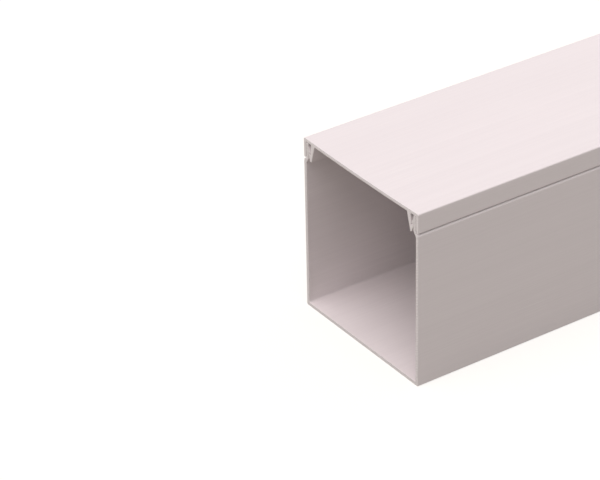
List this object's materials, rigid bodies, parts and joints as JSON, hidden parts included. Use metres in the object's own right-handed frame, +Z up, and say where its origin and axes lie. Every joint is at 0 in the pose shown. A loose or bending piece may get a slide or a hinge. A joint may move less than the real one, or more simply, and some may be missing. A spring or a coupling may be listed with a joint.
{
  "type": "square cable trunking with clip-on lid",
  "caption": "Rigid square cable duct in plain white vinyl: a deep open channel with hooked upstands, closed by a near-flat lid whose barbed legs catch under the hooks behind its flush skirts.",
  "frame": {"origin": "on the underside of the base, midway across its width and midway along its length", "axes": "+X across the duct, +Y along the duct, +Z up through the lid"},
  "size_m": [0.1, 2, 0.103],
  "materials": {
    "base_vinyl": "extruded white rigid vinyl, satin",
    "lid_vinyl": "extruded white rigid vinyl, satin"
  },
  "bodies": {
    "root": {"base_channel": "base_vinyl", "clip_lid": "lid_vinyl"}
  },
  "joints": []
}
